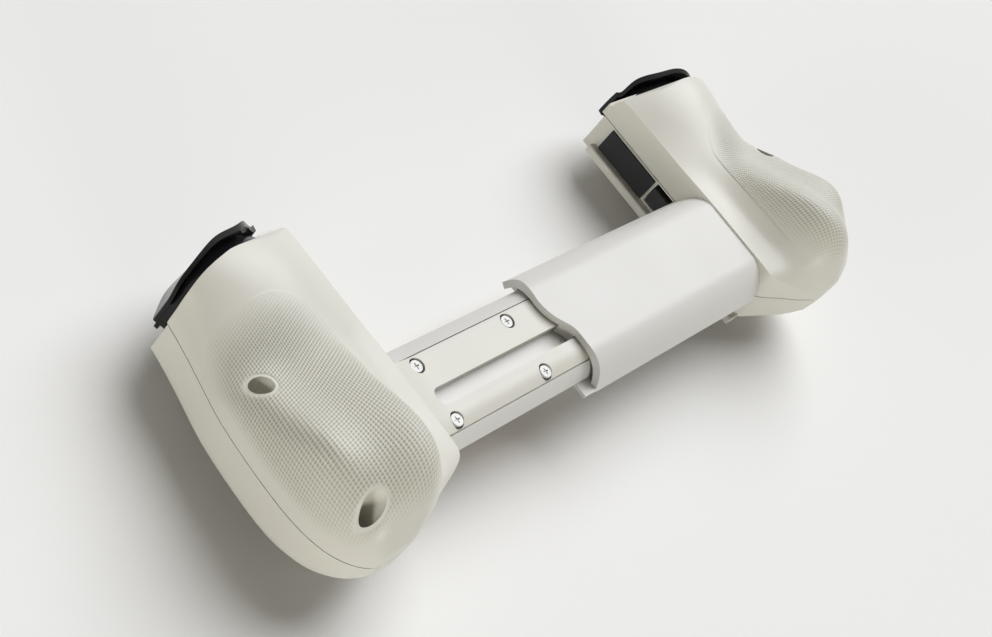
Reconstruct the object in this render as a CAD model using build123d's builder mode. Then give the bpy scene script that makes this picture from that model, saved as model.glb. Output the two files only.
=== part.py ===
from build123d import *

import math
import os

os.makedirs("parts", exist_ok=True)

# A telescopic game controller for a phone, lying on its front with its back up.
# X runs across both grips, Y towards the triggers, Z out of the back.
# The origin is on the table, midway between the grips, on the slot's centre line.
# The left unit, for the left hand, is on +X and carries the bridge sleeve.
# The right unit, on -X, carries the rail that slides in the sleeve.

# Overall layout
slot_length = 155.2  # between the inner walls of the two grips, as drawn
grip_width = 47.6  # from the inner wall to the outer side
grip_low = 46.7  # from the slot's centre line to the palm end
grip_high = 44.0  # to the end of the surface that the trigger rim trims
rim_setback = 1.5  # the front shell's trigger rim lies this far below the rear shell's
rim_fade = 3  # power by which the setback fades towards the outer side
face_height = 9.0  # front faces above the table that the stick caps stand on
face_depth = 12.0  # from the front faces back to the phone's back
parting_rise = 0.8  # parting line above the phone's back
palm_height = 26.2  # palm crest above the parting line
shell_wall = 2.0
face_round = 4.0  # rounding of the front shell's outer edge
corner_round = 7.0  # rounding of the slot wall's trigger end, seen along X
corner_reach = 40.7  # how far towards the triggers the slot wall runs
fit_gap = 0.3  # between parts that pass each other
seat_gap = 0.1  # between parts that one screw or clip holds together
seam_gap = 0.25  # open line between the front and rear shells
groove_gap = 0.3  # open line each side of the rail's tongues
overrun = 5.0  # how far a cutting tool runs past what it cuts

# Screws that close each grip: places outwards from the slot wall and along the slot
screw_places = [(40.6, 2.0), (39.2, -36.2)]
recess_radius = 2.8
screw_seat = 3.0  # above the phone's back
post_radius = 4.3
boss_radius = 3.0
screw_hole = 1.2
pilot_radius = 1.05
screw_radius = 1.0
screw_head = 2.4
screw_head_height = 1.6
screw_length = 9.0
cross_length = 2.6  # driver recess in the screw heads
cross_width = 0.6
cross_depth = 0.7

# Phone slot
lip_width = 3.0
lip_half = 36.0
lip_top = 12.0
lip_round = 0.8
pad_thick = 0.8
pad_low = 12.4
pad_high = 20.8
pad_half = 34.0

# Charging plug on its swinging carrier (left unit)
plug_u = 4.2  # the carrier's axis, outwards from the slot wall
plug_z = 16.9
barrel_radius = 3.4
barrel_length = 22.0
stub_radius = 1.2
stub_length = 2.5
bearing_radius = 1.25
bearing_start = 11.5
bearing_width = 2.5
bearing_reach = 2.2
nose_end = 1.2  # how far the nose stands out of the slot wall
nose_height = 5.6
nose_half = 11.0
plug_end = 8.0
plug_width = 8.3
plug_height = 2.4
plug_wall = 0.4
plug_depth = 5.6
tongue_width = 6.6
tongue_height = 0.7
window_half = 11.5
window_low = 12.8
window_high = 21.0
pad_window_half = 12.5

# Circuit boards
board_z = 19.4
board_thick = 1.0
board_near = 3.0
board_far = 33.0
board_low = -32.8
board_clear = 10.3  # kept clear of the trigger line
notch_half = 14.8
notch_far = 9.6
chip_width = 9.0
chip_height = 1.1
chip_place = (22.0, -1.0)
port_place = (14.0, -24.0)
post_places = [(5.0, -24.0), (31.0, -31.0), (31.2, -1.0), (5.0, 19.5)]
board_post = 1.6
switch_width = 4.4
switch_height = 1.5

# Sticks
left_stick_place = (21.0, 14.0)
right_stick_place = (20.0, -18.0)
pivot_z = 15.6
module_width = 16.0
module_low = 11.6
module_cavity = 13.6
module_mouth = 12.0
module_lip = 0.8
module_back = 0.5
carrier_width = 13.0
carrier_inner = 11.2
carrier_low = 12.8
carrier_high = 17.5
yoke_width = 9.5
yoke_inner = 6.8
yoke_height = 2.4
yoke_pin = 0.8
yoke_hole = 0.85
block_width = 5.0
block_height = 2.4
block_pin = 0.65
block_hole = 0.7
pin_overlap = 0.2  # pins start this far inside the piece that carries them
shaft_radius = 1.6
shaft_profile = [(1.6, 12.0), (3.0, 8.6), (4.5, 6.0), (4.5, 4.6), (2.5, 4.6), (2.5, 2.4)]
cap_profile = [(0.0, 1.0), (4.0, 0.8), (7.0, 0.0), (8.0, 0.1), (8.75, 1.4), (8.75, 3.0), (7.5, 4.5)]
cap_bore = 2.55
cap_bore_depth = 2.2
stick_hole = 8.5
dish_radius = 12.5
dish_depth = 1.2

# D-pad (left unit)
dpad_place = (20.0, -15.0)
dpad_span = 24.0
dpad_arm = 8.0
dpad_low = 6.5
dpad_round = 1.0
dpad_gap = 0.6
dpad_flange_low = 12.9
dpad_flange_high = 13.9
dpad_flange_span = 26.0
dpad_flange_arm = 10.0
ball_z = 10.0
ball_radius = 1.5
ball_post = 1.0
cup_bore = 1.55
cup_radius = 2.3
dpad_socket = 2.35
dpad_dome_ring = 9.0
dome_radius = 2.6
dome_tip = 1.8
dpad_dome_low = 15.2
mat_thick = 0.8
dpad_mat_width = 24.4
mat_hole = 2.0

# Face buttons (right unit)
face_place = (21.0, 12.0)
face_ring = 8.8
face_radius = 4.8
face_flange = 5.7
face_gap = 0.3
face_low = 6.8
face_round_edge = 0.8
flange_low = 11.3
flange_thick = 1.0
face_dome_low = 13.8

# Small buttons beside the sticks
small_places = [(6.5, 28.0), (10.0, -30.0)]
small_radius = 2.5
small_flange = 3.1
small_low = 8.0
small_flange_low = 12.7
small_edge = 0.5
small_stem = 1.0
small_stem_high = 17.0

# Triggers and bumpers. They are drawn in their own frame: s runs along the trigger from
# its inner end, p square to it away from the grip, and Z as everywhere.
trigger_place = (8.0, 39.0)
trigger_turn = 15.5  # degrees that the trigger's line leans back
pivot_p = -6.0
trigger_pivot_z = 19.8
barrel_line = [(-3.6, 7.2), (0.0, 10.5), (5.0, 13.6), (12.0, 15.4), (22.0, 16.0), (28.0, 14.2), (34.0, 9.0)]
barrel_back = -2.0
barrel_low = 17.4
barrel_plan = [
    (-3.4, 2.6), (0.8, 3.5), (4.6, 3.9), (11.2, 4.1), (16.8, 4.9), (22.1, 4.9), (27.4, 4.4), (31.5, 3.7),
    (33.4, 2.9),
]
# Fin stations: s, back p, crest p, crest z, middle p, middle z, foot p
fin_stations = [
    (-3.8, 2.0, 3.4, 27.2, 3.8, 22.8, 3.9),
    (0.8, 3.0, 4.4, 30.4, 5.0, 24.5, 5.4),
    (4.6, 3.4, 4.9, 33.5, 5.8, 26.5, 6.4),
    (11.2, 3.6, 5.0, 35.8, 6.2, 27.0, 7.2),
    (16.8, 4.4, 5.7, 36.6, 6.3, 27.0, 7.2),
    (22.1, 4.4, 5.6, 36.3, 5.8, 27.0, 6.9),
    (27.4, 3.9, 5.0, 33.4, 5.0, 25.5, 5.8),
    (31.5, 3.2, 4.3, 30.0, 4.2, 24.0, 4.4),
    (33.6, 2.4, 3.4, 26.0, 3.4, 22.5, 3.4),
]
crest_drop = 0.7
opening_gap = 0.45
opening_back = -5.2
opening_low = 16.7
opening_start = -4.2
opening_end = 34.6
hub_radius = 2.6
hub_starts = [3.0, 26.0]
hub_width = 3.0
pin_start = 0.8
pin_length = 30.4
pin_radius = 1.0
pin_fit = 1.05
bracket_starts = [0.8, 29.6]
bracket_width = 1.6
bracket_profile = [(-10.0, 17.2), (-3.4, 17.2), (-3.4, 22.4), (-5.6, 22.4), (-5.6, 45.0), (-10.0, 45.0)]
coil_start = 8.0
coil_length = 16.0
coil_outer = 2.2
coil_inner = 1.3

bumper_s = 2.0
bumper_p = -5.0
bumper_low = 10.0
bumper_high = 16.1
bumper_plan = [(0.4, 1.6), (0.4, 2.6), (6.0, 4.4), (15.0, 5.4), (23.0, 4.8), (28.2, 3.4), (28.2, 2.3)]
bumper_arm_start = -0.8
bumper_arm_end = 5.2
bumper_arm_low = 12.2
bumper_arm_high = 14.8
bumper_arm_gap = 0.7
lug_radius = 2.6
lug_hole = 1.6
bumper_post = 1.5
bumper_post_high = 16.4

# Bridge: the sleeve on the left unit and the rail on the right unit
bridge_y = -16.1
sleeve_half = 20.0
sleeve_height = 10.5
sleeve_wall = 2.0
rail_half = 16.2
rail_top = 8.2
rail_bottom = 1.5
rail_start = -73.4
rail_end = 30.0
hump_shares = [(1, 0), (0.95, 0.238), (0.86, 0.571), (0.755, 0.80), (0.61, 0.962), (0.45, 1)]
sleeve_end = 77.6
bulkhead = 1.7
# Plan of the sleeve's free end, X and Y
free_end = [(-11.6, 6.0), (-14.2, 1.5), (-17.4, -4.0), (-17.8, -11.0), (-15.8, -15.6), (-13.1, -19.6),
            (-12.7, -26.5), (-11.4, -32.0), (-10.4, -38.0)]
rib_low = 5.5
rib_half = 2.35
rib_y = -18.85
channel_half = 2.65
channel_low = 5.2
channel_start = -70.0
channel_tip = 2.4
spigot_half = 12.0
spigot_low = 2.2
spigot_high = 8.0
spigot_length = 8.0
spigot_bore = 4.0
floor_thick = 1.2
floor_start = -11.0
tab_start = -16.1
tab_high = -31.4
tab_low = -35.9
peg_x = 69.0
peg_half = 1.4
peg_high = 5.2
tongue_end = -4.0
tongue_thick = 2.4
tongue_high_y = -6.05
tongue_low_y = -28.3
ramp_top = 10.2
ramp_end = -69.0
ramp_middle_share = 0.4  # of the ramp's height that is left half way along it
rail_screw_places = [(-68.6, -8.9), (-68.6, -25.9), (-30.6, -8.9), (-30.6, -25.9)]
rail_screw_head = 1.8
rail_screw_recess = 2.35
rail_recess_depth = 1.1
rail_head_height = 0.8
rail_screw_radius = 0.8
rail_screw_hole = 1.0
rail_pilot = 0.85
rail_screw_length = 3.4
spring_y = -13.3
spring_z = 24.4
spring_radius = 1.6
spring_bore = 1.1
spring_start = -58.0
spring_end = 67.6
spring_groove_half = 2.2
spring_groove_depth = 3.7
ribbon_y = -25.7
ribbon_half = 3.2
ribbon_z = 22.9
ribbon_thick = 0.3
ribbon_groove_half = 3.8
ribbon_groove_depth = 1.1
ribbon_end = 75.9

half_slot = slot_length / 2
back_z = face_height + face_depth
part_z = back_z + parting_rise

# Stations of the grip surface. Each row is one cross-section, square to Y:
# its place as a share of grip_high above the centre line or grip_low below it,
# then widths as shares of grip_width and heights as shares of palm_height, in the
# order inner foot, wall top, shoulder (across, up), crest (across, up),
# outer shoulder (across, up), outer foot.
section_shares = [
    (1.000, 0.000, 0.312, 0.149, 0.412, 0.382, 0.493, 0.762, 0.395, 0.851),
    (0.860, 0.000, 0.338, 0.146, 0.473, 0.376, 0.598, 0.755, 0.516, 0.865),
    (0.700, 0.000, 0.353, 0.144, 0.505, 0.352, 0.644, 0.739, 0.555, 0.881),
    (0.530, 0.000, 0.360, 0.145, 0.506, 0.321, 0.628, 0.721, 0.528, 0.901),
    (0.360, 0.000, 0.364, 0.147, 0.483, 0.302, 0.576, 0.707, 0.482, 0.929),
    (0.190, 0.000, 0.369, 0.150, 0.449, 0.302, 0.530, 0.698, 0.462, 0.961),
    (0.030, 0.000, 0.381, 0.155, 0.418, 0.321, 0.548, 0.694, 0.500, 0.985),
    (-0.120, 0.000, 0.389, 0.159, 0.424, 0.355, 0.644, 0.694, 0.601, 0.996),
    (-0.260, 0.000, 0.392, 0.164, 0.427, 0.392, 0.772, 0.697, 0.716, 1.001),
    (-0.400, 0.000, 0.393, 0.168, 0.428, 0.427, 0.902, 0.701, 0.814, 1.001),
    (-0.530, 0.000, 0.395, 0.174, 0.443, 0.455, 0.987, 0.704, 0.864, 0.995),
    (-0.650, 0.000, 0.393, 0.190, 0.481, 0.479, 1.008, 0.706, 0.860, 0.978),
    (-0.750, 0.026, 0.371, 0.229, 0.496, 0.501, 0.961, 0.704, 0.807, 0.950),
    (-0.830, 0.180, 0.283, 0.295, 0.482, 0.520, 0.856, 0.699, 0.714, 0.912),
    (-0.890, 0.312, 0.203, 0.371, 0.438, 0.539, 0.722, 0.691, 0.603, 0.869),
    (-0.935, 0.411, 0.153, 0.447, 0.366, 0.557, 0.574, 0.681, 0.481, 0.823),
    (-0.966, 0.495, 0.118, 0.511, 0.278, 0.574, 0.426, 0.669, 0.360, 0.778),
    (-0.986, 0.546, 0.091, 0.561, 0.191, 0.592, 0.282, 0.655, 0.241, 0.736),
]
# Depth of the face side at each station, as shares of its full depth
depth_shares = [
    1, 1, 1, 1, 1, 1, 1, 1, 1, 1,
    0.98, 0.93, 0.87, 0.79, 0.71, 0.62, 0.52, 0.44,
]
bend_share = 0.4  # most of a narrow station's width that its rounding may take
corner_rise_share = 0.243  # height of the wall's trigger end above the phone's back
corner_way = (1.0, -0.19, 0.42)  # the rounding rises and falls back with the shoulder
cavity_rows = 15  # the narrow rows at the palm's tip stay solid
wall_allowance = 0.1  # the lofts start this far beyond the slot wall, which is then cut flat

# The rim where the shells stop at the triggers: shares of grip_width and grip_high
rim_shares = [
    (-0.030, 0.936),
    (0.120, 0.905),
    (0.240, 0.875),
    (0.390, 0.830),
    (0.540, 0.792),
    (0.660, 0.764),
    (0.765, 0.735),
    (0.860, 0.690),
    (0.915, 0.650),
    (1.100, 0.500),
]


def row_points(row, inset):
    """One station of the grip surface: its Y and its outline points in the XZ plane."""
    share, foot, wall, shoulder, shoulder_up, crest, crest_up, outer, outer_up, out = row
    reach = grip_high if share > 0 else grip_low
    y = share * (reach - inset)
    wide = lambda value: half_slot + value * grip_width
    tall = lambda value: part_z + value * palm_height
    points = [
        (wide(foot) + inset - wall_allowance, tall(wall) - inset),
        (wide(shoulder) + inset / 2, tall(shoulder_up) - inset),
        (wide(crest), tall(crest_up) - inset),
        (wide(outer) - inset / 2, tall(outer_up) - inset),
        (wide(out) - inset, part_z),
    ]
    return y, points


def beyond_rim(inset, setback=0):
    """The plan area past the trigger rim, which the shells are trimmed from.

    The setback applies in full at the slot wall and fades towards the outer side."""
    with BuildSketch(Plane.XY) as area:
        with BuildLine():
            line = [
                (half_slot + u * grip_width, v * grip_high - inset - setback * max(0, 1 - u**rim_fade))
                for u, v in rim_shares
            ]
            edge = Spline(line)
            far = grip_high + overrun
            Polyline(edge @ 1, (line[-1][0], far), (line[0][0], far), edge @ 0)
        make_face()
    return area.sketch


def wall_corner(inset):
    """The area outside the rounded trigger end of the slot wall, seen along X."""
    top = back_z + corner_reach * corner_rise_share - inset
    far = corner_reach - inset
    with BuildSketch(Plane.YZ.offset(half_slot - overrun)) as area:
        with BuildLine():
            RadiusArc((far - corner_round, top), (far, top - corner_round), corner_round)
            Polyline(
                (far, top - corner_round),
                (far + corner_round, top - corner_round),
                (far + corner_round, top + corner_round),
                (far - corner_round, top + corner_round),
                (far - corner_round, top),
            )
        make_face()
    return area.sketch


def rear_blank(inset):
    """The palm side of a grip above the parting line, as a solid."""
    with BuildPart() as blank:
        for row in section_shares if inset == 0 else section_shares[:cavity_rows]:
            y, points = row_points(row, inset)
            inner_foot = (points[0][0], part_z)
            with BuildSketch(Plane.XZ.offset(-y)):
                with BuildLine():
                    rise = (points[1][0] - points[0][0], points[1][1] - points[0][1])
                    Spline(points, tangents=[rise, (0, -1)])
                    Polyline(points[-1], inner_foot, points[0])
                make_face()
        loft()
        split(bisect_by=Plane.YZ.offset(half_slot + inset), keep=Keep.TOP)
        extrude(beyond_rim(inset), amount=back_z + 2 * palm_height, mode=Mode.SUBTRACT)
        extrude(wall_corner(inset), amount=grip_width, dir=corner_way, mode=Mode.SUBTRACT)
    return blank.part


def front_blank(inset):
    """The face side of a grip below the parting line, on the same stations."""
    rows = section_shares if inset == 0 else section_shares[:cavity_rows]
    high = part_z - seam_gap if inset == 0 else part_z
    with BuildPart() as blank:
        for row, depth in zip(rows, depth_shares):
            y, points = row_points(row, inset)
            inner = points[0][0]
            outer = points[-1][0]
            low = part_z - depth * (part_z - face_height) + inset
            bend = min(face_round - inset / 2, (outer - inner) * bend_share)
            with BuildSketch(Plane.XZ.offset(-y)):
                with BuildLine():
                    Polyline((outer, high), (inner, high), (inner, low), (outer - bend, low))
                    RadiusArc((outer - bend, low), (outer, low + bend), -bend)
                    Line((outer, low + bend), (outer, high))
                make_face()
        loft()
        split(bisect_by=Plane.YZ.offset(half_slot + inset), keep=Keep.TOP)
        extrude(beyond_rim(inset, rim_setback), amount=back_z + 2 * palm_height, mode=Mode.SUBTRACT)
    return blank.part


on_base = (Align.CENTER, Align.CENTER, Align.MIN)
along_x = (0, 90, 0)
along_y = (90, 0, 0)
left = 1
right = -1


def at(side, place, z):
    """A point of one unit: its side, its place (outwards, along the slot) and height."""
    u, y = place
    return (side * (half_slot + u), y, z)


# The trigger's own frame on the left unit
lean = math.radians(trigger_turn)
trigger_run = (math.cos(lean), -math.sin(lean), 0)
trigger_out = (math.sin(lean), math.cos(lean), 0)


def trigger_point(s, p, z):
    """A point of the left unit from the trigger's own coordinates."""
    x = half_slot + trigger_place[0] + s * trigger_run[0] + p * trigger_out[0]
    y = trigger_place[1] + s * trigger_run[1] + p * trigger_out[1]
    return (x, y, z)


def trigger_section(s):
    """The plane square to the trigger at one station: p across, Z up."""
    return Plane(origin=trigger_point(s, 0, 0), x_dir=trigger_out, z_dir=trigger_run)


def trigger_disc(start, width, radius):
    """A round solid on the trigger's pivot axis."""
    with BuildPart() as solid:
        with BuildSketch(trigger_section(start)):
            with Locations((pivot_p, trigger_pivot_z)):
                Circle(radius)
        extrude(amount=width)
    return solid.part


def trigger_plan(points, low, high):
    """A solid from a plan outline in s and p, between two heights."""
    plan = Plane(origin=trigger_point(0, 0, low), x_dir=trigger_run, z_dir=(0, 0, 1))
    with BuildPart() as solid:
        with BuildSketch(plan):
            with BuildLine():
                Polyline(*points, close=True)
            make_face()
        extrude(amount=high - low)
    return solid.part


def trigger_barrel(grow):
    """The round body of the trigger about its pivot, larger by grow."""
    axis_plane = Plane(
        origin=trigger_point(0, pivot_p, trigger_pivot_z), x_dir=trigger_run, z_dir=(0, 0, -1)
    )
    axis = Axis(trigger_point(0, pivot_p, trigger_pivot_z), trigger_run)
    line = [(s, radius + grow) for s, radius in barrel_line]
    line[0] = (line[0][0] - grow, line[0][1])
    line[-1] = (line[-1][0] + grow, line[-1][1])
    with BuildPart() as solid:
        with BuildSketch(axis_plane):
            with BuildLine():
                edge = Spline(line)
                Polyline(edge @ 1, (line[-1][0], 0), (line[0][0], 0), edge @ 0)
            make_face()
        revolve(axis=axis)
    return solid.part


def round_solid(side, profile):
    """A turned solid from radius and height pairs, on the Z axis of its place."""
    place, points = profile
    origin = at(side, place, 0)
    with BuildPart() as solid:
        with BuildSketch(Plane(origin=origin, x_dir=(1, 0, 0), z_dir=(0, -1, 0))):
            with BuildLine():
                Polyline(*points, close=True)
            make_face()
        revolve(axis=Axis(origin, (0, 0, 1)))
    return solid.part


def hump(half, height, low):
    """The bridge's cross-section in the YZ plane, from a half width and a height."""
    with BuildSketch(Plane.YZ) as face:
        with BuildLine():
            tops = [(bridge_y + w * half, back_z + h * height) for w, h in hump_shares]
            others = [(bridge_y - w * half, back_z + h * height) for w, h in reversed(hump_shares)]
            one = Spline(tops)
            two = Spline(others)
            Line(one @ 1, two @ 0)
            Line(two @ 1, one @ 0)
        make_face()
        with Locations((bridge_y, back_z)):
            Rectangle(3 * half, 2 * low, mode=Mode.SUBTRACT)
    return face.sketch


def hump_bar(half, height, low, start, end):
    """A bar of the bridge's cross-section along X."""
    with BuildPart() as bar:
        extrude(Pos(start, 0, 0) * hump(half, height, low), amount=end - start)
    return bar.part


# Shells, before the openings that differ between the two units
rear_outer = rear_blank(0)
rear_inner = rear_blank(shell_wall)
front_outer = front_blank(0)
front_inner = front_blank(shell_wall)
opening_plan = [
    (opening_start, opening_back), (opening_end, opening_back),
    (opening_end, grip_width), (opening_start, grip_width),
]
with BuildPart() as trigger_mouth:
    add(trigger_barrel(opening_gap))
    add(trigger_plan(opening_plan, opening_low, 2 * grip_width), mode=Mode.INTERSECT)

with BuildPart() as rear_posts:
    for place in screw_places:
        with Locations(at(left, place, part_z)):
            Cylinder(post_radius, palm_height, align=on_base)
    add(rear_outer, mode=Mode.INTERSECT)

with BuildPart() as rear_envelope:
    add(rear_outer)
    with Locations(at(left, (grip_width / 2, 0), part_z)):
        Box(grip_width, 2 * grip_high, face_depth, align=(Align.CENTER, Align.CENTER, Align.MAX))

with BuildPart() as brackets:
    for start in bracket_starts:
        with BuildSketch(trigger_section(start)):
            with BuildLine():
                Polyline(*bracket_profile, close=True)
            make_face()
        extrude(amount=bracket_width)
    add(rear_envelope.part, mode=Mode.INTERSECT)
    add(trigger_disc(0, pin_start + pin_length + pin_start, pin_fit), mode=Mode.SUBTRACT)

with BuildPart() as rear_base:
    add(rear_outer)
    add(rear_inner, mode=Mode.SUBTRACT)
    add(trigger_mouth.part, mode=Mode.SUBTRACT)
    add(rear_posts.part)
    add(brackets.part)
    for place in screw_places:
        with Locations(at(left, place, back_z + screw_seat)):
            Cylinder(recess_radius, palm_height, align=on_base, mode=Mode.SUBTRACT)
        with Locations(at(left, place, part_z)):
            Cylinder(screw_hole, 2 * screw_seat, align=on_base, mode=Mode.SUBTRACT)

with BuildPart() as front_bosses:
    for place in screw_places:
        with Locations(at(left, place, face_height)):
            Cylinder(boss_radius, part_z - face_height, align=on_base)
    for place in post_places:
        with Locations(at(left, place, face_height)):
            Cylinder(board_post, board_z - face_height, align=on_base)
    add(front_outer, mode=Mode.INTERSECT)
    for place in screw_places:
        with Locations(at(left, place, back_z + screw_seat)):
            Cylinder(pilot_radius, screw_length + fit_gap, align=(Align.CENTER, Align.CENTER, Align.MAX),
                     mode=Mode.SUBTRACT)

arm_gap_plan = [
    (bumper_arm_start - bumper_arm_gap, bumper_p - lug_radius),
    (bumper_arm_end + bumper_arm_gap, bumper_p - lug_radius),
    (bumper_arm_end + bumper_arm_gap, grip_width / 2),
    (bumper_arm_start - bumper_arm_gap, grip_width / 2),
]
with BuildPart() as front_base:
    add(front_outer)
    add(front_inner, mode=Mode.SUBTRACT)
    add(front_bosses.part)
    with Locations(at(left, (shell_wall / 2, 0), face_height)):
        Box(shell_wall, 2 * lip_half, lip_top - face_height, align=on_base)
    with Locations(at(left, (-lip_width / 2, 0), face_height)):
        Box(lip_width, 2 * lip_half, lip_top - face_height, align=on_base)
    fillet(edges().filter_by(Axis.Y).group_by(Axis.X)[0], radius=lip_round)
    add(trigger_mouth.part, mode=Mode.SUBTRACT)
    arm_low = bumper_arm_low - bumper_arm_gap
    add(trigger_plan(arm_gap_plan, arm_low, bumper_arm_high + bumper_arm_gap), mode=Mode.SUBTRACT)
    with Locations(trigger_point(bumper_s, bumper_p, face_height)):
        Cylinder(bumper_post, bumper_post_high - face_height, align=on_base)
    for place in small_places:
        with Locations(at(left, place, 0)):
            Cylinder(small_radius + face_gap, lip_top + shell_wall, align=on_base, mode=Mode.SUBTRACT)


def stick_opening(side, place):
    """What a stick's opening takes out of a front shell: the hole and the dish round it."""
    points = [
        (0, 0), (dish_radius, 0), (dish_radius, face_height), (stick_hole, face_height + dish_depth),
        (stick_hole, lip_top), (0, lip_top),
    ]
    return round_solid(side, (place, points))


with BuildPart() as left_front_shell:
    add(front_base.part)
    add(stick_opening(left, left_stick_place), mode=Mode.SUBTRACT)
    with Locations(at(left, dpad_place, 0)):
        Box(dpad_span + 2 * dpad_gap, dpad_arm + 2 * dpad_gap, lip_top, align=on_base, mode=Mode.SUBTRACT)
        Box(dpad_arm + 2 * dpad_gap, dpad_span + 2 * dpad_gap, lip_top, align=on_base, mode=Mode.SUBTRACT)
    with Locations(at(left, dpad_place, face_height + shell_wall)):
        long_side = dpad_flange_span + 2 * fit_gap
        short_side = dpad_flange_arm + 2 * fit_gap
        Box(long_side, short_side, shell_wall, align=on_base, mode=Mode.SUBTRACT)
        Box(short_side, long_side, shell_wall, align=on_base, mode=Mode.SUBTRACT)
    with Locations(at(left, (shell_wall / 2, 0), window_low)):
        Box(2 * shell_wall, 2 * window_half, window_high - window_low, align=on_base, mode=Mode.SUBTRACT)
    for end in (-1, 1):
        middle = end * (bearing_start + bearing_width / 2)
        with Locations(at(left, (plug_u, middle), face_height + shell_wall / 2)):
            Box(2 * bearing_reach, bearing_width, plug_z + bearing_reach - face_height - shell_wall / 2,
                align=on_base)
        with Locations(at(left, (plug_u, middle), plug_z)):
            Cylinder(bearing_radius, 2 * bearing_width, rotation=along_y, mode=Mode.SUBTRACT)
left_front_shell.part.label = "left_front_shell"
export_step(left_front_shell.part, "parts/left_front_shell.step")

with BuildPart() as right_front_shell:
    mirror(front_base.part, about=Plane.YZ)
    add(stick_opening(right, right_stick_place), mode=Mode.SUBTRACT)
    with Locations(at(right, face_place, 0)):
        with PolarLocations(face_ring, 4):
            Cylinder(face_radius + face_gap, lip_top, align=on_base, mode=Mode.SUBTRACT)
right_front_shell.part.label = "right_front_shell"
export_step(right_front_shell.part, "parts/right_front_shell.step")

with BuildPart() as left_rear_shell:
    add(rear_base.part)
    with Locations((half_slot, bridge_y, back_z + spigot_low - seat_gap)):
        Box(4 * shell_wall, 2 * (spigot_half + seat_gap), spigot_high - spigot_low + 2 * seat_gap,
            align=on_base, mode=Mode.SUBTRACT)
left_rear_shell.part.label = "left_rear_shell"
export_step(left_rear_shell.part, "parts/left_rear_shell.step")

with BuildPart() as tongues:
    loft([
        Pos(-half_slot, 0, 0) * hump(rail_half, ramp_top, 0),
        Pos((ramp_end - half_slot) / 2, 0, 0)
        * hump(rail_half, rail_top + (ramp_top - rail_top) * ramp_middle_share, 0),
        Pos(ramp_end, 0, 0) * hump(rail_half, rail_top, 0),
    ])
    add(hump_bar(rail_half, ramp_top, 0, -half_slot - shell_wall, -half_slot))
    add(hump_bar(rail_half, rail_top, 0, ramp_end, tongue_end))
    with Locations((tongue_end, tongue_high_y, back_z + rail_top - tongue_thick)):
        Box(slot_length, tongue_high_y - tongue_low_y, sleeve_height,
            align=(Align.MAX, Align.MAX, Align.MIN), mode=Mode.INTERSECT)
    with Locations((channel_start + channel_tip, rib_y, back_z)):
        Box(slot_length, 2 * channel_half, sleeve_height + palm_height,
            align=(Align.MIN, Align.CENTER, Align.MIN), mode=Mode.SUBTRACT)
        Cylinder(channel_half, palm_height, align=on_base, mode=Mode.SUBTRACT)
    for x, y in rail_screw_places:
        with Locations((x, y, back_z)):
            Cylinder(rail_screw_hole, palm_height, align=on_base, mode=Mode.SUBTRACT)
        with Locations((x, y, back_z + rail_top - rail_recess_depth)):
            Cylinder(rail_screw_recess, palm_height, align=on_base, mode=Mode.SUBTRACT)

with BuildPart() as right_rear_shell:
    mirror(rear_base.part, about=Plane.YZ)
    add(hump_bar(rail_half, rail_top, rail_bottom, -half_slot - shell_wall, rail_start - seat_gap))
    add(tongues.part)
right_rear_shell.part.label = "right_rear_shell"
export_step(right_rear_shell.part, "parts/right_rear_shell.step")

# Bridge
with BuildPart() as sleeve_cutter:
    with BuildSketch(Plane.XY):
        with BuildLine():
            edge = Spline(free_end)
            far = 4 * sleeve_height
            Polyline(edge @ 1, (free_end[-1][0] - far, free_end[-1][1]),
                     (free_end[0][0] - far, free_end[0][1]), edge @ 0)
        make_face()
    extrude(amount=2 * part_z)

inner_half = sleeve_half - sleeve_wall
inner_height = sleeve_height - sleeve_wall
floor_end = sleeve_end - pad_thick - 2 * fit_gap
with BuildPart() as bridge_sleeve:
    add(hump_bar(sleeve_half, sleeve_height, 0, 2 * tab_start, sleeve_end))
    add(hump_bar(inner_half, inner_height, 0, 3 * tab_start, sleeve_end - bulkhead), mode=Mode.SUBTRACT)
    with Locations((sleeve_end - bulkhead, rib_y, back_z + rib_low)):
        Box(sleeve_end - 2 * tab_start, 2 * rib_half, inner_height - rib_low + seat_gap,
            align=(Align.MAX, Align.CENTER, Align.MIN))
    add(sleeve_cutter.part, mode=Mode.SUBTRACT)
    with Locations((sleeve_end, bridge_y, back_z + spigot_low)):
        Box(spigot_length, 2 * spigot_half, spigot_high - spigot_low,
            align=(Align.MIN, Align.CENTER, Align.MIN))
    with Locations((floor_end + seat_gap, bridge_y, back_z)):
        Box(2 * bulkhead, 2 * inner_half, floor_thick + seat_gap,
            align=(Align.MAX, Align.CENTER, Align.MIN), mode=Mode.SUBTRACT)
    with Locations((sleeve_end + spigot_length / 2, bridge_y, back_z + spigot_low)):
        Cylinder(spigot_bore / 2, spigot_high, align=on_base, mode=Mode.SUBTRACT)
bridge_sleeve.part.label = "bridge_sleeve"
export_step(bridge_sleeve.part, "parts/bridge_sleeve.step")

with BuildPart() as bridge_floor:
    add(hump_bar(inner_half - seat_gap, inner_height, 0, floor_start, floor_end))
    with Locations((floor_start, bridge_y, back_z)):
        Box(slot_length, slot_length, floor_thick, align=(Align.MIN, Align.CENTER, Align.MIN),
            mode=Mode.INTERSECT)
    with Locations((tab_start, tab_low, back_z)):
        Box(floor_start - tab_start, tab_high - tab_low, floor_thick,
            align=(Align.MIN, Align.MIN, Align.MIN))
    with Locations((peg_x, spring_y, back_z)):
        Box(2 * peg_half, 2 * peg_half, peg_high, align=on_base)
bridge_floor.part.label = "bridge_floor"
export_step(bridge_floor.part, "parts/bridge_floor.step")

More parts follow.
